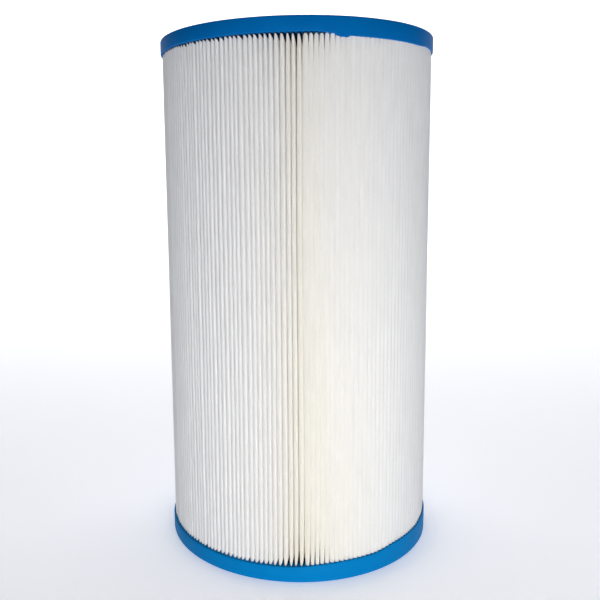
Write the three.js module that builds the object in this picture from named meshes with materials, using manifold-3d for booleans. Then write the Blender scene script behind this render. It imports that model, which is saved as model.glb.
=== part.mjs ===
// A pleated filter cartridge for a pool or spa: one folded sheet of polyester filter cloth
// around a perforated centre core, with both ends potted into moulded end caps.
// Millimetres, +Z up. The origin is the centre of the bottom cap's lower face.
import * as THREE from 'three';
import { mergeVertices } from 'three/addons/utils/BufferGeometryUtils.js';
import Module from 'manifold-3d';

// Overall sizes.
const CARTRIDGE_HEIGHT = 254;
const CAP_DIAMETER = 137;

// End caps: flat rings that end level with their own outer face.
const CAP_THICKNESS = 7.8;
const CAP_OVERHANG = 1.0; // how far the rim stands proud of the pleat tips
const CAP_EDGE_BREAK = 0.9; // the softened corner between rim and outer face
const BORE_DIAMETER = 54;
const BORE_LIP = 1.2; // cap material between the bore and the core's socket
const POTTING_DEPTH = 5; // how deep core and pleats stand in the cap

// Centre core: a rigid tube with staggered rows of round holes.
const CORE_WALL = 2;
const CORE_HOLE_DIAMETER = 12;
const CORE_HOLES_PER_ROW = 8;
const CORE_ROW_COUNT = 9;
const CORE_END_BAND = 15; // from each cap's inner face to the nearest row's centre

// Pleated sheet.
const PLEAT_COUNT = 180;
const SHEET_THICKNESS = 0.45;
const PLEAT_TIP_WIDTH = 1.5;
const ROOT_CLEFT_WIDTH = 0.09; // between a pleat's two flanks, where they meet the core
const SEAM_SPREAD = 0.8; // how much wider the valley at the seam is than the others
const SEAM_BEARING = -88; // degrees around +Z

// Seam bead: a strip of glue in the valley where the sheet's two ends meet.
const BEAD_DEPTH = 3;
const BEAD_SETBACK = 0.9; // from the pleat tips in to the bead's outer face
const BEAD_END_GAP = 1.5; // from each cap to the bead's end

const FIT_GAP = 0.3; // left between pieces that touch
const ROUND_SEGMENTS = 72;
const CORE_SEGMENTS = 40;
const HOLE_SEGMENTS = 8;

// Sizes that follow from those above.
const CAP_RADIUS = CAP_DIAMETER / 2;
const BORE_RADIUS = BORE_DIAMETER / 2;
const TROUGH_FLOOR = CAP_THICKNESS - POTTING_DEPTH;
const TROUGH_INNER_RADIUS = BORE_RADIUS + BORE_LIP;
const CORE_INNER_RADIUS = TROUGH_INNER_RADIUS + FIT_GAP;
const CORE_OUTER_RADIUS = CORE_INNER_RADIUS + CORE_WALL;
const PLEAT_INNER_RADIUS = CORE_OUTER_RADIUS + FIT_GAP;
const PLEAT_OUTER_RADIUS = CAP_RADIUS - CAP_OVERHANG;
const TROUGH_OUTER_RADIUS = PLEAT_OUTER_RADIUS + FIT_GAP;
const POTTED_BOTTOM = TROUGH_FLOOR + FIT_GAP;
const POTTED_HEIGHT = CARTRIDGE_HEIGHT - 2 * POTTED_BOTTOM;
const SEAM_ANGLE = THREE.MathUtils.degToRad(SEAM_BEARING);
const SEAM_SPREAD_ANGLE = SEAM_SPREAD / PLEAT_OUTER_RADIUS;
const PLEAT_PITCH_ANGLE = (2 * Math.PI - SEAM_SPREAD_ANGLE) / PLEAT_COUNT;

const wasm = await Module();
wasm.setup();

// A closed geometry as a solid that can be cut.
function toSolid(geometry) {
  const bare = geometry.clone();
  bare.deleteAttribute('normal');
  bare.deleteAttribute('uv');
  const merged = mergeVertices(bare, 1e-5);
  return new wasm.Manifold(new wasm.Mesh({
    numProp: 3,
    vertProperties: new Float32Array(merged.attributes.position.array),
    triVerts: new Uint32Array(merged.index.array),
  }));
}

// A cut solid back as a geometry.
function toGeometry(solid) {
  const cut = solid.getMesh();
  const geometry = new THREE.BufferGeometry();
  geometry.setAttribute('position', new THREE.BufferAttribute(cut.vertProperties, 3));
  geometry.setIndex(new THREE.BufferAttribute(cut.triVerts, 1));
  geometry.computeVertexNormals();
  return geometry;
}

// A ring turned around +Z from a closed outline of [radius, height] points, which runs
// counterclockwise with radius to the right and height up.
function turnedRing(outline, segments) {
  const points = outline.map(([radius, height]) => new THREE.Vector2(radius, height));
  points.push(points[0].clone());
  const geometry = new THREE.LatheGeometry(points, segments);
  geometry.rotateX(Math.PI / 2);
  return geometry;
}

// A cap standing on its outer face: a flat ring with an annular trough for core and pleats.
function endCapGeometry() {
  const outline = [
    [BORE_RADIUS, CAP_EDGE_BREAK],
    [BORE_RADIUS + CAP_EDGE_BREAK, 0],
    [CAP_RADIUS - CAP_EDGE_BREAK, 0],
    [CAP_RADIUS, CAP_EDGE_BREAK],
    [CAP_RADIUS, CAP_THICKNESS],
    [TROUGH_OUTER_RADIUS, CAP_THICKNESS],
    [TROUGH_OUTER_RADIUS, TROUGH_FLOOR],
    [TROUGH_INNER_RADIUS, TROUGH_FLOOR],
    [TROUGH_INNER_RADIUS, CAP_THICKNESS],
    [BORE_RADIUS, CAP_THICKNESS],
  ];
  return turnedRing(outline, ROUND_SEGMENTS);
}

// The core: a tube with round holes, each row turned half a step from the one below.
function coreGeometry() {
  const tube = turnedRing([
    [CORE_INNER_RADIUS, 0],
    [CORE_OUTER_RADIUS, 0],
    [CORE_OUTER_RADIUS, POTTED_HEIGHT],
    [CORE_INNER_RADIUS, POTTED_HEIGHT],
  ], CORE_SEGMENTS);
  const holeReach = 4 * CORE_WALL;
  const hole = new THREE.CylinderGeometry(
    CORE_HOLE_DIAMETER / 2, CORE_HOLE_DIAMETER / 2, holeReach, HOLE_SEGMENTS);
  hole.rotateZ(Math.PI / 2);
  hole.translate((CORE_INNER_RADIUS + CORE_OUTER_RADIUS) / 2, 0, 0);
  const firstRow = POTTING_DEPTH - FIT_GAP + CORE_END_BAND;
  const rowSpacing = (POTTED_HEIGHT - 2 * firstRow) / (CORE_ROW_COUNT - 1);
  const holeStep = 2 * Math.PI / CORE_HOLES_PER_ROW;
  let solid = toSolid(tube);
  for (let row = 0; row < CORE_ROW_COUNT; row += 1) {
    for (let place = 0; place < CORE_HOLES_PER_ROW; place += 1) {
      const cutter = hole.clone();
      cutter.rotateZ(holeStep * (place + (row % 2) / 2));
      cutter.translate(0, 0, firstRow + row * rowSpacing);
      solid = solid.subtract(toSolid(cutter));
    }
  }
  return toGeometry(solid);
}

// A point of a flat outline, a sideways distance along the arc from an angle.
function around(radius, angle, sideways = 0) {
  const turned = angle + sideways / radius;
  return new THREE.Vector2(radius * Math.cos(turned), radius * Math.sin(turned));
}

// The middle of a pleat's tip; pleat 0 is the first one past the seam.
function pleatAngle(index) {
  return SEAM_ANGLE + SEAM_SPREAD_ANGLE / 2 + PLEAT_PITCH_ANGLE * (index + 0.5);
}

// The sheet's cross-section: outer and inner faces zigzag between the core and the rim,
// one sheet thickness apart at the folds. Next to the core the flanks fill the pitch.
function pleatOutlines() {
  const outer = [];
  const inner = [];
  const cleftEndWidth = PLEAT_TIP_WIDTH - 2 * SHEET_THICKNESS;
  for (let index = 0; index < PLEAT_COUNT; index += 1) {
    const angle = pleatAngle(index);
    outer.push(around(PLEAT_OUTER_RADIUS, angle, -PLEAT_TIP_WIDTH / 2));
    outer.push(around(PLEAT_OUTER_RADIUS, angle, PLEAT_TIP_WIDTH / 2));
    const last = index === PLEAT_COUNT - 1;
    const valleyAngle = last ? SEAM_ANGLE : angle + PLEAT_PITCH_ANGLE / 2;
    outer.push(around(PLEAT_INNER_RADIUS + SHEET_THICKNESS, valleyAngle));
    inner.push(around(PLEAT_INNER_RADIUS, angle, -ROOT_CLEFT_WIDTH / 2));
    inner.push(around(PLEAT_OUTER_RADIUS - SHEET_THICKNESS, angle, -cleftEndWidth / 2));
    inner.push(around(PLEAT_OUTER_RADIUS - SHEET_THICKNESS, angle, cleftEndWidth / 2));
    inner.push(around(PLEAT_INNER_RADIUS, angle, ROOT_CLEFT_WIDTH / 2));
  }
  return { outer, inner };
}

function mediaGeometry() {
  const { outer, inner } = pleatOutlines();
  const section = new THREE.Shape(outer);
  section.holes.push(new THREE.Path(inner));
  return new THREE.ExtrudeGeometry(section, {
    depth: POTTED_HEIGHT, bevelEnabled: false, steps: 1,
  });
}

// The bead narrows with the valley that it fills, and clears both of its walls.
function seamBeadGeometry() {
  const outerRadius = PLEAT_OUTER_RADIUS - BEAD_SETBACK;
  const innerRadius = outerRadius - BEAD_DEPTH;
  const valleyBottom = PLEAT_INNER_RADIUS + SHEET_THICKNESS;
  const mouthWidth = PLEAT_PITCH_ANGLE * PLEAT_OUTER_RADIUS - PLEAT_TIP_WIDTH + SEAM_SPREAD;
  const valleyWidth = (radius) =>
    mouthWidth * (radius - valleyBottom) / (PLEAT_OUTER_RADIUS - valleyBottom);
  const outerHalf = valleyWidth(outerRadius) / 2 - FIT_GAP;
  const innerHalf = valleyWidth(innerRadius) / 2 - FIT_GAP;
  const section = new THREE.Shape([
    around(innerRadius, SEAM_ANGLE, -innerHalf),
    around(outerRadius, SEAM_ANGLE, -outerHalf),
    around(outerRadius, SEAM_ANGLE, outerHalf),
    around(innerRadius, SEAM_ANGLE, innerHalf),
  ]);
  const length = CARTRIDGE_HEIGHT - 2 * (CAP_THICKNESS + BEAD_END_GAP);
  return new THREE.ExtrudeGeometry(section, { depth: length, bevelEnabled: false, steps: 1 });
}

function piece(name, geometry, colour, roughness) {
  const material = new THREE.MeshStandardMaterial({ color: colour, roughness, metalness: 0 });
  const mesh = new THREE.Mesh(geometry, material);
  mesh.name = name;
  return mesh;
}

const CAP_BLUE = 0x0168a8;
const CLOTH_WHITE = 0xe6e4df;
const CORE_WHITE = 0xe9e9e6;
const GLUE_AMBER = 0xdcc890;

const cartridge = new THREE.Group();

const bottomCap = piece('bottom_end_cap', endCapGeometry(), CAP_BLUE, 0.35);
cartridge.add(bottomCap);

const topCap = piece('top_end_cap', endCapGeometry(), CAP_BLUE, 0.35);
topCap.rotation.x = Math.PI;
topCap.position.z = CARTRIDGE_HEIGHT;
cartridge.add(topCap);

const core = piece('centre_core', coreGeometry(), CORE_WHITE, 0.45);
core.position.z = POTTED_BOTTOM;
cartridge.add(core);

const media = piece('pleated_media', mediaGeometry(), CLOTH_WHITE, 0.9);
media.position.z = POTTED_BOTTOM;
cartridge.add(media);

const seamBead = piece('media_seam_bead', seamBeadGeometry(), GLUE_AMBER, 0.5);
seamBead.position.z = CAP_THICKNESS + BEAD_END_GAP;
cartridge.add(seamBead);

export default cartridge;
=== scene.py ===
import bmesh
import bpy
import numpy as np
from mathutils import Matrix, Vector


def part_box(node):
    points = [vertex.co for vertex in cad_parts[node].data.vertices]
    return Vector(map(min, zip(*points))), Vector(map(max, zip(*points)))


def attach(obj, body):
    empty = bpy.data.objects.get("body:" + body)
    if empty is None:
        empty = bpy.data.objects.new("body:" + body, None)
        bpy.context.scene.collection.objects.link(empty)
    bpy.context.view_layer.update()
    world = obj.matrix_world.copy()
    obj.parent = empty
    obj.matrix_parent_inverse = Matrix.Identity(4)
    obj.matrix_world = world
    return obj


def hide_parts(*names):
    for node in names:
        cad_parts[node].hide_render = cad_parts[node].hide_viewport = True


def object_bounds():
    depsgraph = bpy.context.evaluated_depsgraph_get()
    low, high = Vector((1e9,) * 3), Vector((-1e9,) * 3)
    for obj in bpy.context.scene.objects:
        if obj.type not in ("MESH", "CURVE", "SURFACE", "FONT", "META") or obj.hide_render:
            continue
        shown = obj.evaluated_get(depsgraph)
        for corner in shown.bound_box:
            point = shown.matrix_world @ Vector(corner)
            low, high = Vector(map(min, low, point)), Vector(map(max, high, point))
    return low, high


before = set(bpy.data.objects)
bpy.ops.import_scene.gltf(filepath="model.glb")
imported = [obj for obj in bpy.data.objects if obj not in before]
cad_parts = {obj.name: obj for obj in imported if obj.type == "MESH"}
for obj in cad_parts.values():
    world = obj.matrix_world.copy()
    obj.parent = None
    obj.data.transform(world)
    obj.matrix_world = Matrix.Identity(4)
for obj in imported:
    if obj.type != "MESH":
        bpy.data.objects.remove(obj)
cad_low, cad_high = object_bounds()

# ---------------------------------------------------------------------------------------
# Studio. The cartridge stands on a pale card sweep that curves up behind it. A small softbox low
# in front and a broad one overhead light it, so the foot is brighter than the top and both
# flanks fall into shade, and a third one whitens the backdrop.

MM = 0.001
CAMERA_DISTANCE = 378.8 * MM
CAMERA_HEIGHT = 187.5 * MM
CAMERA_PITCH, CAMERA_YAW, CAMERA_ROLL = np.radians([7.98, -1.84, -0.55])
LENS_MM = 42.99
LENS_SHIFT = (0.0428, -0.0392)  # of the frame's width
SWEEP_FRONT, SWEEP_HALF_WIDTH = -2.0, 3.0  # metres
SWEEP_REACH, SWEEP_RADIUS, SWEEP_TOP = 1.6, 0.5, 1.8  # metres


def linear(hex_colour):
    """sRGB hex to linear RGBA: the lower part is divided by 12.92, the rest is a power of 2.4."""
    values = np.array([int(hex_colour[i:i + 2], 16) for i in (1, 3, 5)]) / 255
    curved = np.where(values <= 0.04045, values / 12.92, ((values + 0.055) / 1.055) ** 2.4)
    return (*curved.tolist(), 1.0)


def add_node(tree, kind, settings=None, links=None):
    """A node with its settings (property or input name to value) and links (input to socket)."""
    node = tree.nodes.new(kind)
    for name, value in (settings or {}).items():
        if isinstance(name, str) and hasattr(node, name):
            setattr(node, name, value)
        else:
            node.inputs[name].default_value = value
    for name, socket in (links or {}).items():
        tree.links.new(socket, node.inputs[name])
    return node


def new_material(name):
    """An empty node material and its tree."""
    material = bpy.data.materials.new(name)
    material.use_nodes = True
    material.node_tree.nodes.clear()
    return material, material.node_tree


def grid_faces(rows, columns, close_rows=False, close_columns=False):
    """Quads of a grid of rows by columns of points, numbered row by row, joined end to start
    in the directions that close."""
    i = np.arange(rows if close_rows else rows - 1)[:, None]
    j = np.arange(columns if close_columns else columns - 1)[None, :]
    i2, j2 = (i + 1) % rows, (j + 1) % columns
    corners = [i * columns + j, i * columns + j2, i2 * columns + j2, i2 * columns + j]
    return np.stack(corners, axis=-1).reshape(-1, 4)


def make_mesh(name, points, faces, material, smooth=True):
    """A mesh object at the origin from points (n x 3, metres) and faces (m x 4)."""
    mesh = bpy.data.meshes.new(name)
    mesh.from_pydata(points.reshape(-1, 3).tolist(), [], faces.tolist())
    mesh.polygons.foreach_set("use_smooth", np.full(len(faces), smooth))
    mesh.update()
    piece = bpy.data.objects.new(name, mesh)
    bpy.context.scene.collection.objects.link(piece)
    mesh.materials.append(material)
    return piece


def sweep_points():
    """Floor and backdrop: a line along +Y that turns up through a quarter circle, carried along X."""
    turn = np.linspace(0, np.pi / 2, 24)
    y = np.concatenate([[SWEEP_FRONT], SWEEP_REACH + SWEEP_RADIUS * np.sin(turn),
                        [SWEEP_REACH + SWEEP_RADIUS]])
    z = np.concatenate([[0.0], SWEEP_RADIUS * (1 - np.cos(turn)), [SWEEP_TOP]])
    x = np.array([-SWEEP_HALF_WIDTH, SWEEP_HALF_WIDTH])
    grid = np.zeros((len(x), len(y), 3))
    grid[..., 0] = x[:, None]
    grid[..., 1] = y
    grid[..., 2] = z
    return grid


# Matt card, nearly white. It glows a little, as a backdrop with its own lamps does, so that it
# stays pale behind the cartridge's shaded flanks.
card, card_tree = new_material("matt_white_card")
card_surface = add_node(card_tree, "ShaderNodeBsdfPrincipled", {
    "Base Color": linear("#FBFBFB"), "Roughness": 0.9, "Specular IOR Level": 0.1,
    "Emission Color": linear("#F1F5FF"), "Emission Strength": 0.38})
add_node(card_tree, "ShaderNodeOutputMaterial", links={"Surface": card_surface.outputs["BSDF"]})
sweep_grid = sweep_points()
sweep = make_mesh("studio_sweep", sweep_grid, grid_faces(*sweep_grid.shape[:2])[:, ::-1], card)

# A faint cool fill from the room.
world = bpy.data.worlds.new("studio_air")
bpy.context.scene.world = world
world.use_nodes = True
world.node_tree.nodes["Background"].inputs["Color"].default_value = linear("#EEF2FF")
world.node_tree.nodes["Background"].inputs["Strength"].default_value = 0.03


def add_softbox(name, at, aim, width, height, watts, colour="#FFFFFF"):
    """A rectangular lamp at a point, turned to face another. Its sizes are in metres."""
    lamp = bpy.data.lights.new(name, "AREA")
    lamp.shape = "RECTANGLE"
    lamp.size, lamp.size_y = width, height
    lamp.energy = watts
    lamp.color = linear(colour)[:3]
    holder = bpy.data.objects.new(name, lamp)
    direction = Vector(aim) - Vector(at)
    turned = direction.to_track_quat("-Z", "Y").to_matrix().to_4x4()
    holder.matrix_world = Matrix.Translation(at) @ turned
    holder.visible_camera = False
    bpy.context.scene.collection.objects.link(holder)


add_softbox("front_softbox", (0.06, -0.42, 0.02), (0.0, 0.0, 0.04), 0.30, 0.16, 1.48, "#FFFEFB")
add_softbox("overhead_softbox", (0.0, -0.35, 1.30), (0.0, -0.25, 0.0), 1.2, 1.0, 2.0, "#F4F6FF")
add_softbox("backdrop_softbox", (0.0, 0.9, 1.5), (0.0, 1.9, 0.4), 2.4, 0.6, 30.0)

# The camera's own axes: level ones turned by its yaw and pitch, then rolled about its view.
camera_data = bpy.data.cameras.new("camera")
camera_data.lens = LENS_MM
camera_data.sensor_width = 36.0
camera_data.shift_x, camera_data.shift_y = LENS_SHIFT
camera_data.clip_start = 10 * MM
camera = bpy.data.objects.new("camera", camera_data)
level_right = np.array([np.cos(CAMERA_YAW), -np.sin(CAMERA_YAW), 0.0])
level_up = np.array([np.sin(CAMERA_YAW) * np.sin(CAMERA_PITCH),
                     np.cos(CAMERA_YAW) * np.sin(CAMERA_PITCH), np.cos(CAMERA_PITCH)])
right = np.cos(CAMERA_ROLL) * level_right + np.sin(CAMERA_ROLL) * level_up
up = -np.sin(CAMERA_ROLL) * level_right + np.cos(CAMERA_ROLL) * level_up
placed = np.eye(4)
placed[:3, 0], placed[:3, 1], placed[:3, 2] = right, up, np.cross(right, up)
placed[:3, 3] = (0.0, -CAMERA_DISTANCE, CAMERA_HEIGHT)
camera.matrix_world = Matrix(placed.tolist())
bpy.context.scene.collection.objects.link(camera)
bpy.context.scene.camera = camera
bpy.context.scene.view_settings.view_transform = "Standard"

# ---------------------------------------------------------------------------------------
# Centre core: a rigid tube injection-moulded in white polypropylene, with staggered rows of
# round holes that let the filtered water through. The cloth is wrapped around it.

CORE_HOLES_PER_ROW, CORE_ROW_COUNT = 8, 9
CORE_HOLE_RADIUS = 6.0 * MM
CORE_WALL = 2.0 * MM
CORE_END_BAND = 19.7 * MM  # from the tube's end to the first row's centre
HOLE_SIDES = 32  # points round each hole; a quarter of them along each side of its cell
CORE_EDGE_STEPS = np.array([0.0, 0.12, 0.4, 1.0])  # rings between a hole and its cell's edge
CORE_HOLE_EASE = 0.35 * MM  # how far a hole's rim is softened
CORE_BAND_ROWS = 4  # rows of points along an end band

core_low, core_high = (np.array(corner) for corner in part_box("centre_core"))
core_outer_radius = core_high[0]
core_inner_radius = core_outer_radius - CORE_WALL
core_row_spacing = (core_high[2] - core_low[2] - 2 * CORE_END_BAND) / (CORE_ROW_COUNT - 1)


def cell_edge():
    """The edge of a hole's cell as a square: points (across, along) in order round it, each from
    -1 to 1, evenly spaced along the sides."""
    quarter = HOLE_SIDES // 4
    run = np.linspace(-1, 1, quarter, endpoint=False)
    across = np.concatenate([np.ones(quarter), -run, -np.ones(quarter), run])
    along = np.concatenate([run, np.ones(quarter), -run, -np.ones(quarter)])
    return np.stack([across, along], axis=-1)


def core_points():
    """Points and quads of the pierced tube without its end bands: each cell's outer and inner
    face and its hole's wall. A ring of a cell is circle * (1 - step) + rectangle * step, and its
    angle round the tube is the cell's middle + distance across / outer radius."""
    half_angle = np.pi / CORE_HOLES_PER_ROW
    square = cell_edge()
    rim = square / np.linalg.norm(square, axis=1, keepdims=True)
    half_cell = np.array([half_angle * core_outer_radius, core_row_spacing / 2])
    steps = CORE_EDGE_STEPS[:, None, None]
    flat = (rim * CORE_HOLE_RADIUS) * (1 - steps) + (square * half_cell) * steps
    row, place = np.meshgrid(np.arange(CORE_ROW_COUNT), np.arange(CORE_HOLES_PER_ROW), indexing="ij")
    middle_angle = (2 * half_angle * (place + row % 2 / 2))[..., None, None]
    middle_height = (core_low[2] + CORE_END_BAND + row * core_row_spacing)[..., None, None]
    angle = middle_angle + flat[..., 0] / core_outer_radius
    height = middle_height + flat[..., 1]
    # Rings from the cell's edge in to the hole on the outside, then back out on the inside.
    angle = np.concatenate([angle[:, :, ::-1], angle], axis=2)
    height = np.concatenate([height[:, :, ::-1], height], axis=2)
    rings = len(CORE_EDGE_STEPS)
    radius = np.concatenate([np.full(rings, core_outer_radius), np.full(rings, core_inner_radius)])
    radius = np.broadcast_to(radius[:, None], angle.shape).copy()
    radius[:, :, rings - 1] -= CORE_HOLE_EASE
    radius[:, :, rings] += CORE_HOLE_EASE
    points = np.stack([radius * np.cos(angle), radius * np.sin(angle), height], axis=-1)
    cell_faces = grid_faces(2 * rings, HOLE_SIDES, close_columns=True)
    cell_size = 2 * rings * HOLE_SIDES
    cells = CORE_ROW_COUNT * CORE_HOLES_PER_ROW
    faces = (np.arange(cells)[:, None, None] * cell_size + cell_faces).reshape(-1, 4)
    return points.reshape(-1, 3), faces


def core_end_points(z_cell, z_end):
    """A plain end band: rings of even angles that run from the cells' edge on the outside, over
    the tube's end, and back to the cells' edge on the inside."""
    columns = CORE_HOLES_PER_ROW * HOLE_SIDES // 4
    angle = np.arange(columns) * 2 * np.pi / columns
    z = np.linspace(z_cell, z_end, CORE_BAND_ROWS)
    z = np.concatenate([z, z[::-1]])[:, None]
    radius = np.repeat([core_outer_radius, core_inner_radius], CORE_BAND_ROWS)[:, None]
    rings = np.broadcast_arrays(radius * np.cos(angle), radius * np.sin(angle), z)
    return np.stack(rings, axis=-1).reshape(-1, 3), grid_faces(len(z), columns, close_columns=True)


def welded(parts, tolerance=1e-6):
    """Joins lists of points and faces, and merges points at the same place."""
    offsets = np.cumsum([0] + [len(points) for points, _ in parts[:-1]])
    points = np.concatenate([points for points, _ in parts])
    faces = np.concatenate([faces + offset for (_, faces), offset in zip(parts, offsets)])
    key = np.round(points / tolerance).astype(np.int64)
    _, first, same = np.unique(key, axis=0, return_index=True, return_inverse=True)
    return points[first], same.reshape(-1)[faces]


def recalculate(piece, tolerance=2e-6):
    """Merges the doubles of a closed piece and turns every face outwards."""
    shape = bmesh.new()
    shape.from_mesh(piece.data)
    bmesh.ops.remove_doubles(shape, verts=shape.verts, dist=tolerance)
    bmesh.ops.recalc_face_normals(shape, faces=shape.faces)
    shape.to_mesh(piece.data)
    shape.free()


bottom_band = core_end_points(core_low[2] + CORE_END_BAND - core_row_spacing / 2, core_low[2])
top_band = core_end_points(core_high[2] - CORE_END_BAND + core_row_spacing / 2, core_high[2])
core_shape, core_faces = welded([core_points(), bottom_band, top_band])

# Polypropylene, injection-moulded: milky white and faintly waxy, with broad dull highlights and
# a little light through its thin edges. Its skin is finer than 0.1 mm, and is drawn at 1.1 mm so
# that it shows.
core_plastic, core_tree = new_material("moulded_white_polypropylene")
core_where = add_node(core_tree, "ShaderNodeTexCoord")
core_grain = add_node(core_tree, "ShaderNodeTexNoise", {"Scale": 1 / (1.1 * MM), "Detail": 3.0},
                      {"Vector": core_where.outputs["Object"]})
core_bump = add_node(core_tree, "ShaderNodeBump", {"Strength": 0.08, "Distance": 0.2 * MM},
                     {"Height": core_grain.outputs["Fac"]})
core_gloss = add_node(core_tree, "ShaderNodeMapRange", {"To Min": 0.38, "To Max": 0.52},
                      {"Value": core_grain.outputs["Fac"]})
core_surface = add_node(core_tree, "ShaderNodeBsdfPrincipled", {
    "Base Color": linear("#E9E9E4"), "IOR": 1.49, "Subsurface Weight": 0.1,
    "Subsurface Radius": (1.0, 1.0, 1.0), "Subsurface Scale": 2.0 * MM},
    {"Roughness": core_gloss.outputs["Result"], "Normal": core_bump.outputs["Normal"]})
add_node(core_tree, "ShaderNodeOutputMaterial", links={"Surface": core_surface.outputs["BSDF"]})

core = make_mesh("core_tube", core_shape, core_faces, core_plastic, smooth=False)
recalculate(core)
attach(core, "root")
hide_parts("centre_core")

# ---------------------------------------------------------------------------------------
# Filter cloth: one strip of spunbonded polyester, scored, folded into deep pleats and wrapped
# round the core so that the folds lean. Past the seam the pack is pushed up tight, elsewhere it
# sits looser, and the caps pinch the pleats where their compound holds them.

PLEAT_COUNT = 180
SHEET_THICKNESS = 0.45 * MM
SEAM_BEARING = -88.0  # degrees round +Z
SEAM_SPREAD = 0.8 * MM
PLEAT_LEAN = -3.6 * MM  # how far a tip lies round the rim from its own root
TIP_DEPTH_TIGHT, TIP_DEPTH_LOOSE = 0.08 * MM, 0.64 * MM  # how deep the rounded tip is
TIP_FLATNESS_TIGHT, TIP_FLATNESS_LOOSE = 2.0, 1.3  # above 1, its rounding keeps to its sides
TIP_TURN_TIGHT = np.array([-90.0, -80.0, -30.0, 30.0, 80.0, 90.0])  # degrees round the tip's curve
TIP_TURN_LOOSE = np.array([-90.0, -66.0, -26.0, 26.0, 66.0, 90.0])
# A free tip's width as a share of its room: where the pack is tight, where it is loose, and of a
# loose one right beside the seam.
TIP_FILL_TIGHT, TIP_FILL_LOOSE, TIP_FILL_BY_SEAM = 0.998, 0.935, 0.88
TIP_SCATTER_TIGHT, TIP_SCATTER_LOOSE = 0.03, 0.08  # of the pitch
TIP_RECESS_TIGHT, TIP_RECESS_LOOSE = 0.015 * MM, 0.09 * MM  # how far a tip stands back
TIP_WANDER = 0.10 * MM
TIGHT_UNTIL, LOOSENS_OVER = 0.30, 0.30  # of the way round from the seam
SEAM_DISTURBS = 5.0  # pleats
END_ROUND = 0.5 * MM  # over which a tip's end is rounded at the cap
CROWN_DROP = 0.15 * MM  # how far that end draws in
PINCHED_DEEPER = 0.5 * MM  # how much deeper a pinched tip's curve is
INNER_TIP_CURVE = 0.775  # depth of the sheet's inner curve, as a share of its outer curve
FLANK_WAY_OUT = 0.8  # of the way from root to tip
FLANK_SHARE, FLANK_WIDTH, FLANK_GROWTH = 0.80, 0.62 * MM, 0.3  # the flank's half width
ROOT_OUTER_SHARE, ROOT_INNER_SHARE = 0.96, 0.06  # of half a pitch at the root, for each face
PLEAT_POINTS = 10  # across a pleat: root, flank, six round the tip, flank, root
CAP_FILL = np.array([7.7, 6.7]) * MM  # how full the bottom and the top cap's moulds were poured
END_STEPS = np.array([-1.4, 0.0, 0.4, 0.9, 1.6, 2.6, 4.0, 6.0, 9.0, 15.0, 32.0]) * MM  # past the brim
MIDDLE_STEP = 30 * MM  # from the middle of the height to the rows on either side of it

# For the bottom cap and then the top cap. Of its room, a tip gives up this share near the cap
# (tight, loose, more beside the seam, scatter) and this one right at its edge (tight, loose).
PINCH = ((0.10, 0.13, 0.24, 0.03), (0.20, 0.32, 0.08, 0.04))
END_PINCH = ((0.09, 0.10), (0.05, 0.05))
# Millimetres that the pinch reaches from the cap (tight, loose, more beside the seam), that the
# compound crept up between the tips (least, more beside the seam, scatter), and that the dark
# mark, partly stain and partly painted shade, reaches further up beside the seam.
PINCH_REACH = ((2.0, 2.0, 5.5), (3.2, 8.0, 2.0))
CREEP = ((0.7, 0.0, 0.35), (0.22, 0.3, 0.28))
STAIN_AND_SHADE_BY_SEAM = (1.9, 0.5)
# The dark mark grows with the depth behind the tip, as painted shade in the valleys on top of the
# compound's stain: it starts at the first depth and grows over the second, in millimetres, once
# for the creep itself and then up to twice as much again.
STAIN_AND_SHADE_START, STAIN_AND_SHADE_OVER, DEEP_PAINTED_SHADE_START, DEEP_PAINTED_SHADE_OVER = 0.25, 0.9, 1.0, 3.0

media_low, media_high = (np.array(corner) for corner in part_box("pleated_media"))
tip_radius = media_high[1]
root_radius = core_outer_radius + 0.3 * MM
height = cad_high[2]
seam_angle = np.radians(SEAM_BEARING)
pleat_pitch = (2 * np.pi - SEAM_SPREAD / tip_radius) / PLEAT_COUNT
even_angles = seam_angle + SEAM_SPREAD / tip_radius / 2 + pleat_pitch * (np.arange(PLEAT_COUNT) + 0.5)
dice = np.random.default_rng(17)


def uneven(amount, width, rows=None):
    """Random values round the ring, each blended with its neighbours by a bell curve of that
    width in pleats, and scaled to a standard deviation of amount."""
    values = dice.normal(0, 1, PLEAT_COUNT if rows is None else (rows, PLEAT_COUNT))
    reach = np.arange(-3 * width, 3 * width + 1)
    weight = np.exp(-0.5 * (reach / width) ** 2)
    weight *= amount / np.sqrt((weight ** 2).sum())
    return sum(w * np.roll(values, r, axis=-1) for w, r in zip(weight, reach))


# From 0 where the pack is tight to 1 where it is loose, easing in and out of the change.
way_round = (np.arange(PLEAT_COUNT) + 0.5) / PLEAT_COUNT
looseness = np.clip((way_round - TIGHT_UNTIL) / LOOSENS_OVER, 0, 1)
looseness = looseness ** 2 * (3 - 2 * looseness)


def by_looseness(tight, loose):
    """A value for each pleat, between its tight and its loose one."""
    return tight + (loose - tight) * looseness


tip_scatter = dice.normal(0, pleat_pitch, PLEAT_COUNT)
tip_scatter *= by_looseness(TIP_SCATTER_TIGHT, TIP_SCATTER_LOOSE)
tip_wander = uneven(1.0, 3, rows=3) + dice.normal(0, 0.25, (3, PLEAT_COUNT))
tip_recess = np.abs(dice.normal(0, by_looseness(TIP_RECESS_TIGHT, TIP_RECESS_LOOSE), PLEAT_COUNT))
tip_depth = by_looseness(TIP_DEPTH_TIGHT, TIP_DEPTH_LOOSE)
tip_flatness = by_looseness(TIP_FLATNESS_TIGHT, TIP_FLATNESS_LOOSE)[:, None]

# How near each pleat is to the seam, from 1 beside it to 0 about ten pleats away.
pleats_from_seam = np.minimum(np.arange(PLEAT_COUNT), PLEAT_COUNT - 1 - np.arange(PLEAT_COUNT))
by_seam = np.exp(-(pleats_from_seam / SEAM_DISTURBS) ** 2)
loose_fill = TIP_FILL_LOOSE + (TIP_FILL_BY_SEAM - TIP_FILL_LOOSE) * np.sqrt(by_seam)
tip_fill = by_looseness(TIP_FILL_TIGHT, loose_fill)

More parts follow.
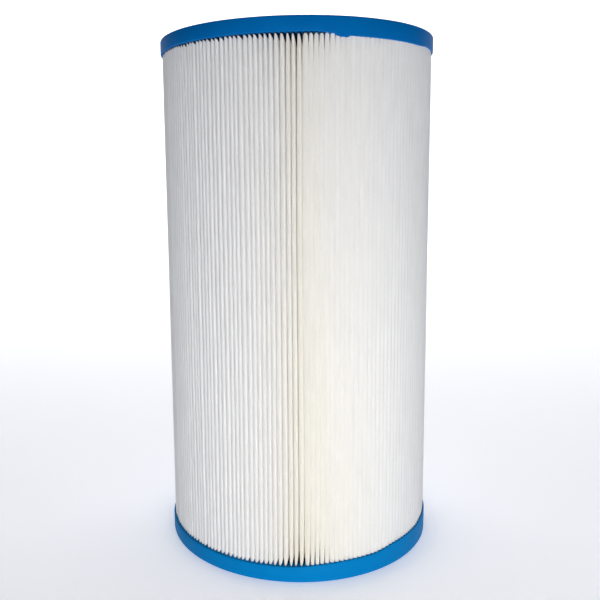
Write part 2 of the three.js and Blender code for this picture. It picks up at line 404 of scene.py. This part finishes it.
pinch = np.stack([by_looseness(tight, loose) + more * by_seam + uneven(scatter, 1)
                  for tight, loose, more, scatter in PINCH])
end_pinch = np.stack([by_looseness(tight, loose) for tight, loose in END_PINCH])
pinch_reach = MM * np.stack([by_looseness(tight, loose) + more * by_seam
                             for tight, loose, more in PINCH_REACH])
creep = MM * np.stack([least + more * by_seam + np.abs(uneven(scatter, 1))
                       for least, more, scatter in CREEP])
# The dark mark's reach: the compound's creep, and further painted shade beside the seam.
stain_and_shade = creep + MM * np.array(STAIN_AND_SHADE_BY_SEAM)[:, None] * by_seam


def tip_angles(z):
    """Each tip's angle at each height: its even place, a fixed scatter and a slow wander, which
    is a sum of three half waves along the height."""
    turn = np.pi * np.asarray(z)[:, None] / height
    waves = np.stack([np.sin(turn), np.sin(2 * turn), np.sin(3 * turn)])
    wander = (waves * tip_wander[:, None, :]).sum(axis=0)
    return even_angles + tip_scatter + wander * TIP_WANDER / tip_radius


def valley_angles(tips):
    """The middle between each tip and the next one round."""
    after = np.roll(tips, -1, axis=-1)
    after[..., -1] += 2 * np.pi
    return (tips + after) / 2


def media_points():
    """The folded strip, as (face, height, pleat, point across the pleat, xyz), outer face first.

    A pleat's middle line lies back as the cube of its way out from the root, by PLEAT_LEAN in
    all. Six points turn round its tip: half the tip's width * sin(turn) to the side, and
    depth * (1 - cos(turn)) ^ flatness in. The flanks taper in to the root, and the inner face
    lies one thickness behind the outer face. Towards a cap the tip narrows as an exponential of
    the distance. Also returned: how far the dark mark reaches past each point, in metres,
    negative above its edge, which is the compound's stain and, deeper in the valleys, painted
    shade, and how deep each point lies behind its tip, in millimetres."""
    middle_rows = height / 2 + np.array([-MIDDLE_STEP, MIDDLE_STEP])
    z = np.concatenate([media_low[2:], CAP_FILL[0] + END_STEPS, middle_rows,
                        height - (CAP_FILL[1] + END_STEPS)[::-1], media_high[2:]])
    tips = tip_angles(z)
    valleys = valley_angles(tips)
    before = np.roll(valleys, 1, axis=1)
    before[:, 0] -= 2 * np.pi
    room = np.stack([tips - before, valleys - tips]) * tip_radius
    from_caps = np.stack([z - CAP_FILL[0], height - z - CAP_FILL[1]])[:, :, None]
    near_caps = np.exp(-np.maximum(from_caps, 0) / pinch_reach[:, None, :])
    at_caps = np.exp(-np.maximum(from_caps, 0) / END_ROUND)
    given_up = near_caps * pinch[:, None, :] + at_caps * end_pinch[:, None, :]
    half = room * (tip_fill - given_up.sum(axis=0))
    crown = tip_radius - tip_recess - CROWN_DROP * at_caps.sum(axis=0)
    depth = tip_depth + PINCHED_DEEPER * near_caps.sum(axis=0)
    round_tip = np.radians(by_looseness(TIP_TURN_TIGHT[:, None], TIP_TURN_LOOSE[:, None])).T
    tip_half = half[(0, 0, 0, 1, 1, 1), ...].transpose(1, 2, 0)
    flank_half = np.minimum(FLANK_SHARE * half, FLANK_WIDTH + FLANK_GROWTH * half)
    root_half = pleat_pitch * root_radius / 2
    both_sides = np.array([-1.0, 1.0])[:, None, None]
    radius, side = np.zeros((2, 2, len(z), PLEAT_COUNT, PLEAT_POINTS))
    faces = ((0.0, 1.0, ROOT_OUTER_SHARE, root_radius + SHEET_THICKNESS),
             (SHEET_THICKNESS, INNER_TIP_CURVE, ROOT_INNER_SHARE, root_radius))
    for face, (behind, curve, root_share, root_at) in enumerate(faces):
        drop = depth[..., None] * curve * (1 - np.cos(round_tip)) ** tip_flatness
        radius[face, ..., 2:8] = crown[..., None] - behind - drop
        side[face, ..., 2:8] = (tip_half - behind) * np.sin(round_tip)
        radius[face, ..., [1, 8]] = root_radius + FLANK_WAY_OUT * (tip_radius - root_radius)
        side[face, ..., [1, 8]] = (flank_half - behind) * both_sides
        radius[face, ..., [0, 9]] = root_at
        side[face, ..., [0, 9]] = root_half * root_share * both_sides
    way_out = (radius - root_radius) / (tip_radius - root_radius)
    lean = np.arctan(3 * PLEAT_LEAN / (tip_radius - root_radius) * way_out ** 2)
    middle = even_angles[:, None] + (tips - even_angles)[..., None] * way_out
    middle = middle - PLEAT_LEAN / tip_radius * (1 - way_out ** 3)
    at_radius = np.maximum(radius - side * np.sin(lean), root_radius)
    angle = middle + side * np.cos(lean) / at_radius
    points = np.stack(np.broadcast_arrays(at_radius * np.cos(angle), at_radius * np.sin(angle),
                                          z[:, None, None]), axis=-1)
    deep = np.maximum((crown[..., None] - radius) / MM, 0)
    # Painted shade: the deeper a point lies in its valley, the higher the dark mark reaches.
    stain_and_shade_by_depth = (np.clip((deep - STAIN_AND_SHADE_START) / STAIN_AND_SHADE_OVER, 0, 1)
              + np.clip((deep - DEEP_PAINTED_SHADE_START) / DEEP_PAINTED_SHADE_OVER, 0, 2))
    stain_and_shade_reach = (stain_and_shade[:, None, :, None] * stain_and_shade_by_depth[:, None] - from_caps[:, None, ..., None]).max(axis=0)
    return points, stain_and_shade_reach, deep


media_grid, media_stain_and_shade, media_deep = media_points()
media_rows, stain_and_shade_rows, deep_rows = (
    np.concatenate([both[0], both[1][::-1]]) for both in (media_grid, media_stain_and_shade, media_deep))
media_faces = grid_faces(len(media_rows), PLEAT_COUNT * PLEAT_POINTS,
                         close_rows=True, close_columns=True)

# Spunbonded polyester: continuous filaments laid at random and bonded by heat, so it is matt
# white with a faint mottle, streaked along the pleats, and lets some light through. The
# filaments are 0.02 mm thick, and are drawn as a 0.65 mm mottle so that they show. Compound that
# crept up between the pleats stains it dark blue near the caps; the near-black mark is that stain
# and, higher up in the deep valleys, painted shade. Glue stains it yellow beside the seam, and a
# wider warm tint is added round the ring.
cloth, cloth_tree = new_material("spunbonded_polyester_cloth")
cloth_where = add_node(cloth_tree, "ShaderNodeTexCoord")
filaments = add_node(cloth_tree, "ShaderNodeTexNoise", {
    "Scale": 1 / (0.65 * MM), "Detail": 4.0, "Roughness": 0.7}, {"Vector": cloth_where.outputs["Object"]})
streak_place = add_node(cloth_tree, "ShaderNodeMapping", {"Scale": (1.0, 1.0, 0.15)},
                        {"Vector": cloth_where.outputs["Object"]})
streaks = add_node(cloth_tree, "ShaderNodeTexNoise", {"Scale": 1 / (2.4 * MM), "Detail": 3.0},
                   {"Vector": streak_place.outputs["Vector"]})
mottle = add_node(cloth_tree, "ShaderNodeMath", {"operation": "ADD"},
                  {0: filaments.outputs["Fac"], 1: streaks.outputs["Fac"]})
mottle_share = add_node(cloth_tree, "ShaderNodeMapRange", {"From Min": 0.7, "From Max": 1.3},
                        {"Value": mottle.outputs["Value"]})
cloth_white = add_node(cloth_tree, "ShaderNodeMix", {
    "data_type": "RGBA", 6: linear("#EEEEEF"), 7: linear("#F7F7F8")},
    {0: mottle_share.outputs["Result"]})
seam_share = add_node(cloth_tree, "ShaderNodeAttribute", {"attribute_name": "near_seam"})
cloth_tinted = add_node(cloth_tree, "ShaderNodeMix", {"data_type": "RGBA", 7: linear("#F1E2B4")},
                        {0: seam_share.outputs["Fac"], 6: cloth_white.outputs[2]})
stain_and_shade_attribute = add_node(cloth_tree, "ShaderNodeAttribute", {"attribute_name": "stain_and_shade_mm"})
stain_and_shade_noise = add_node(cloth_tree, "ShaderNodeMath", {"operation": "MULTIPLY_ADD", 1: 1.2, 2: -0.6},
                       {0: filaments.outputs["Fac"]})
stain_and_shade_edge = add_node(cloth_tree, "ShaderNodeMath", {"operation": "ADD"},
                      {0: stain_and_shade_attribute.outputs["Fac"], 1: stain_and_shade_noise.outputs["Value"]})
stain_and_shade_share = add_node(cloth_tree, "ShaderNodeMapRange", {"From Min": -0.15, "From Max": 0.2},
                   {"Value": stain_and_shade_edge.outputs["Value"]})
# Near-black navy: the compound's stain, and painted shade in the deep valleys.
cloth_colour = add_node(cloth_tree, "ShaderNodeMix", {"data_type": "RGBA", 7: linear("#031C3A")},
                        {0: stain_and_shade_share.outputs["Result"], 6: cloth_tinted.outputs[2]})
cloth_bump = add_node(cloth_tree, "ShaderNodeBump", {"Strength": 0.25, "Distance": 0.2 * MM},
                      {"Height": filaments.outputs["Fac"]})
cloth_surface = add_node(cloth_tree, "ShaderNodeBsdfPrincipled", {
    "Roughness": 0.9, "IOR": 1.45, "Specular IOR Level": 0.2, "Subsurface Weight": 0.35,
    "Subsurface Radius": (1.0, 1.0, 1.0), "Subsurface Scale": 1.2 * MM},
    {"Base Color": cloth_colour.outputs[2], "Normal": cloth_bump.outputs["Normal"]})
add_node(cloth_tree, "ShaderNodeOutputMaterial", links={"Surface": cloth_surface.outputs["BSDF"]})

media = make_mesh("pleated_cloth", media_rows, media_faces, cloth)


def add_values(piece, name, values):
    """A number at each point of a piece's mesh, for its material to read."""
    attribute = piece.data.attributes.new(name, "FLOAT", "POINT")
    attribute.data.foreach_set("value", values.astype(np.float32).ravel())


# Glue shows yellow through the pleats beside the seam, most in their valleys. A warm yellow tint
# is added as well: a bell round the ring, centred just past the seam, that fades with the height.
GLUE_SHOWS, GLUE_PLEATS, GLUE_FULL_DEPTH, GLUE_AT_TIP = 0.6, 3.0, 1.5, 0.15
TINT, TINT_CENTRE, TINT_PLEATS, TINT_AT_FOOT, TINT_FADES = 0.20, 2.5, 12.0, 1.3, 0.9
add_values(media, "stain_and_shade_mm", stain_and_shade_rows / MM)
seam_glow = GLUE_SHOWS * np.exp(-(pleats_from_seam / GLUE_PLEATS) ** 2)[:, None]
seam_glow = seam_glow * np.clip(deep_rows / GLUE_FULL_DEPTH, GLUE_AT_TIP, 1)
half_way = PLEAT_COUNT / 2
pleats_from_tint = (np.arange(PLEAT_COUNT) - TINT_CENTRE + half_way) % PLEAT_COUNT - half_way
tint = TINT * np.exp(-(pleats_from_tint / TINT_PLEATS) ** 2)[:, None]
tint = tint * (TINT_AT_FOOT - TINT_FADES * media_rows[..., 2] / height)
add_values(media, "near_seam", seam_glow + tint)
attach(media, "root")
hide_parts("pleated_media")

# ---------------------------------------------------------------------------------------
# Seam bead: hot-melt glue run down the valley where the strip's two ends meet. It sets as a
# pale amber rod, lumpy where the nozzle slowed.

BEAD_SETBACK, BEAD_DEPTH, BEAD_WIDTH = 1.6 * MM, 2.4 * MM, 1.1 * MM
BEAD_ROWS, BEAD_SIDES = 140, 16
BEAD_END_BLUNTNESS = 60  # the higher, the shorter the end's rounding
BEAD_LUMPS = ((0.10, 3.1 * MM, 0.0), (0.08, 1.3 * MM, 1.0))  # share of its size, length, phase
bead_low, bead_high = (np.array(corner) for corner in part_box("media_seam_bead"))


def bead_points():
    """A tube of flattened ellipses down the seam's valley. Their size is 1 + a sum of sines of
    the height, times sqrt(1 - way ^ bluntness), where way runs from -1 to 1 along the bead."""
    z = np.linspace(bead_low[2], bead_high[2], BEAD_ROWS)
    end = np.sqrt(np.clip(1 - np.linspace(-1, 1, BEAD_ROWS) ** BEAD_END_BLUNTNESS, 0, 1))
    lump = 1 + sum(share * np.sin(z / length + phase) for share, length, phase in BEAD_LUMPS)
    around = np.linspace(0, 2 * np.pi, BEAD_SIDES, endpoint=False)
    middle_radius = tip_radius - BEAD_SETBACK - BEAD_DEPTH / 2
    radius = middle_radius + BEAD_DEPTH / 2 * np.cos(around) * (lump * end)[:, None]
    way_out = (radius - root_radius) / (tip_radius - root_radius)
    valley = valley_angles(tip_angles(z))[:, -1:] - PLEAT_LEAN / tip_radius * (1 - way_out ** 3)
    angle = valley + BEAD_WIDTH / 2 * np.sin(around) * (lump * end)[:, None] / radius
    rings = np.broadcast_arrays(radius * np.cos(angle), radius * np.sin(angle), z[:, None])
    return np.stack(rings, axis=-1)


# Hot-melt glue, set as it ran: smooth and softly glossy, pale amber and cloudy, with light
# through its edges. The clouds are about as long as the bead is deep.
glue, glue_tree = new_material("set_hot_melt_glue")
glue_where = add_node(glue_tree, "ShaderNodeTexCoord")
glue_cloud = add_node(glue_tree, "ShaderNodeTexNoise", {"Scale": 1 / (2.5 * MM), "Detail": 2.0},
                      {"Vector": glue_where.outputs["Object"]})
glue_colour = add_node(glue_tree, "ShaderNodeMix", {
    "data_type": "RGBA", 6: linear("#E6D9B0"), 7: linear("#F0E8CE")}, {0: glue_cloud.outputs["Fac"]})
glue_surface = add_node(glue_tree, "ShaderNodeBsdfPrincipled", {
    "Roughness": 0.35, "IOR": 1.48, "Subsurface Weight": 0.4,
    "Subsurface Radius": (1.0, 0.8, 0.4), "Subsurface Scale": 2.0 * MM},
    {"Base Color": glue_colour.outputs[2]})
add_node(glue_tree, "ShaderNodeOutputMaterial", links={"Surface": glue_surface.outputs["BSDF"]})

bead_grid = bead_points()
bead = make_mesh("seam_glue_bead", bead_grid, grid_faces(*bead_grid.shape[:2], close_columns=True), glue)
recalculate(bead)
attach(bead, "root")
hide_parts("media_seam_bead")

# ---------------------------------------------------------------------------------------
# End caps: blue plastisol, poured into a ring mould with the end of the pleat pack standing
# in it, and cured. It creeps up between the pleats and here and there runs over their tips.

BORE_RADIUS = 27.0 * MM
RIM_ROUND, LEDGE_ROUND, BORE_ROUND = 0.7 * MM, 0.5 * MM, 1.0 * MM
BORE_POINTS, RIM_POINTS, LEDGE_POINTS = 5, 6, 4  # round each rounded edge
FACE_ROWS = 7  # across the flat outer face
POTTING_DIP = 0.15 * MM  # how far the compound sinks below the brim as it cures
# Rows of points across the potting, in from the rim.
POTTING_INSETS = np.array([0.75, 1.0, 1.25, 1.5, 1.8, 2.2, 2.8, 3.8, 6, 11, 20, 30, 37.4]) * MM
# Distance in from the rim where valleys and runs begin to rise, and over which they rise.
VALLEY_START, VALLEY_OVER, RUN_START, RUN_OVER = 1.1 * MM, 1.0 * MM, 0.5 * MM, 0.5 * MM
CLIMB, CLIMB_POWER = 0.9, 2.2  # how much of the creep a valley shows, and how steeply it climbs
RUN_FLATNESS = 8  # the higher, the flatter a run's top and the steeper its ends
FACE_RIPPLE = 0.05 * MM  # how far the flat face sinks between the pleats' ends
COLUMNS_PER_PLEAT = 8
# Where the compound ran over the tips of the bottom cap and then of the top cap: the bearing of
# its middle and its half width in degrees, and its height in millimetres.
RUNS = (((-35, 50, 1.4), (-25, 28, 1.45), (-14, 12, 0.6), (25, 8, 0.8), (118, 10, 0.7)),
        ((-51.5, 26, 1.5), (-73, 2.5, 0.8), (-12, 13, 0.7), (60, 6, 0.9), (150, 9, 0.7)))
CAP_BLUES = (("bottom", "#007AC0", "#0084C8"), ("top", "#0062AB", "#006CB5"))  # one blue, painted lit below and shaded above
cap_radius = cad_high[0]


def arc(middle, radius, start, stop, count):
    """Points (r, z) of an arc about a middle point, between two angles in degrees."""
    turn = np.radians(np.linspace(start, stop, count))
    return np.stack([middle[0] + radius * np.cos(turn), middle[1] + radius * np.sin(turn)], axis=-1)


def cap_points(end):
    """A cap as (profile point, column, xyz), standing on its outer face at z = 0.

    The profile is a closed ring in (r, z) that runs out along the outer face, up the rim and
    back in over the potting, and each pleat has the same number of columns. Share is 0 at a tip
    and 1 at a valley: the potting climbs as |share| ^ CLIMB_POWER, and the outer face ripples as
    share ^ 2. A run is a flat bell, exp(-(bearing / half width) ^ RUN_FLATNESS). Columns lie
    back toward the root as the pleats do."""
    fill = CAP_FILL[end]
    face = np.linspace(BORE_RADIUS + BORE_ROUND, cap_radius - RIM_ROUND, FACE_ROWS + 2)[1:-1]
    potting = cap_radius - POTTING_INSETS
    profile = np.concatenate([
        arc((BORE_RADIUS + BORE_ROUND, BORE_ROUND), BORE_ROUND, 180, 270, BORE_POINTS),
        np.stack([face, np.zeros_like(face)], axis=-1),
        arc((cap_radius - RIM_ROUND, RIM_ROUND), RIM_ROUND, -90, 0, RIM_POINTS),
        [[cap_radius, fill / 2]],
        arc((cap_radius - LEDGE_ROUND, fill - LEDGE_ROUND), LEDGE_ROUND, 0, 90, LEDGE_POINTS),
        np.stack([potting, np.full_like(potting, fill - POTTING_DIP)], axis=-1),
        arc((BORE_RADIUS + LEDGE_ROUND, fill - LEDGE_ROUND), LEDGE_ROUND, 90, 180, LEDGE_POINTS)])
    first_potting = len(profile) - LEDGE_POINTS - len(potting)
    tips = tip_angles([height - fill if end else fill])[0]
    after = valley_angles(tips)
    before = np.roll(after, 1) - np.array([2 * np.pi] + [0] * (PLEAT_COUNT - 1))
    share = np.arange(COLUMNS_PER_PLEAT) / COLUMNS_PER_PLEAT * 2 - 1
    step = np.where(share < 0, (tips - before)[:, None], (after - tips)[:, None])
    angle = (tips[:, None] + share * step).ravel()
    creep_after = (creep[end] + np.roll(creep[end], -1)) / 2
    creep_side = np.where(share < 0, np.roll(creep_after, 1)[:, None], creep_after[:, None])
    meniscus = CLIMB * (creep_side * np.abs(share) ** CLIMB_POWER).ravel()
    run = MM * sum(high * np.exp(-(((np.degrees(angle) - at + 180) % 360 - 180) / wide) ** RUN_FLATNESS)
                   for at, wide, high in RUNS[end])
    radius, z = (np.repeat(values[:, None], len(angle), axis=1) for values in profile.T)
    angle = np.repeat(angle[None], len(profile), axis=0)
    way_out = np.clip((profile[:, 0] - root_radius) / (tip_radius - root_radius), 0, 1)[:, None]
    # The ripples fade in over the first and last quarter of the pack's depth.
    under_pack = np.clip(4 * np.minimum(way_out, 1 - way_out), 0, 1) * (profile[:, 1:] == 0)
    z += FACE_RIPPLE * under_pack * np.tile(share ** 2, PLEAT_COUNT)
    in_valley = np.clip((POTTING_INSETS - VALLEY_START) / VALLEY_OVER, 0, 1)[:, None]
    over_tips = np.clip((POTTING_INSETS - RUN_START) / RUN_OVER, 0, 1)[:, None]
    z[first_potting:first_potting + len(potting)] += meniscus * in_valley + run * over_tips
    z[first_potting - LEDGE_POINTS:first_potting] += run
    angle = angle - PLEAT_LEAN / tip_radius * (1 - way_out ** 3)
    return np.stack([radius * np.cos(angle), radius * np.sin(angle), z], axis=-1)


def plastisol(cap_end_name, darker, lighter):
    """Plastisol: soft PVC, coloured through and cured against a smooth mould, so it looks evenly
    blue and nearly matt, with faint clouds 16 mm across from the pour. The mould's skin is under
    0.1 mm fine, and is drawn at 0.9 mm so that it shows."""
    material, tree = new_material(f"cured_blue_plastisol_{cap_end_name}")
    where = add_node(tree, "ShaderNodeTexCoord")
    cloud = add_node(tree, "ShaderNodeTexNoise", {"Scale": 1 / (16.0 * MM), "Detail": 3.0},
                     {"Vector": where.outputs["Object"]})
    grain = add_node(tree, "ShaderNodeTexNoise", {"Scale": 1 / (0.9 * MM), "Detail": 2.0},
                     {"Vector": where.outputs["Object"]})
    colour = add_node(tree, "ShaderNodeMix", {
        "data_type": "RGBA", 6: linear(darker), 7: linear(lighter)}, {0: cloud.outputs["Fac"]})
    gloss = add_node(tree, "ShaderNodeMapRange", {"To Min": 0.4, "To Max": 0.54},
                     {"Value": cloud.outputs["Fac"]})
    bump = add_node(tree, "ShaderNodeBump", {"Strength": 0.12, "Distance": 0.2 * MM},
                    {"Height": grain.outputs["Fac"]})
    surface = add_node(tree, "ShaderNodeBsdfPrincipled", {"IOR": 1.53, "Specular IOR Level": 0.03},
                       {"Base Color": colour.outputs[2], "Roughness": gloss.outputs["Result"],
                        "Normal": bump.outputs["Normal"]})
    add_node(tree, "ShaderNodeOutputMaterial", links={"Surface": surface.outputs["BSDF"]})
    return material


for end, (name, node) in enumerate((("bottom_cap", "bottom_end_cap"), ("top_cap", "top_end_cap"))):
    cap_grid = cap_points(end)
    cap_faces = grid_faces(*cap_grid.shape[:2], close_rows=True, close_columns=True)
    if end:
        cap_grid[..., 2] = height - cap_grid[..., 2]
        cap_faces = cap_faces[:, ::-1]
    # The bottom cap's lighter blue and the top cap's darker one are painted light and painted shade on
    # one plastisol.
    cap = make_mesh(name, cap_grid, cap_faces, plastisol(*CAP_BLUES[end]))
    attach(cap, "root")
    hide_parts(node)
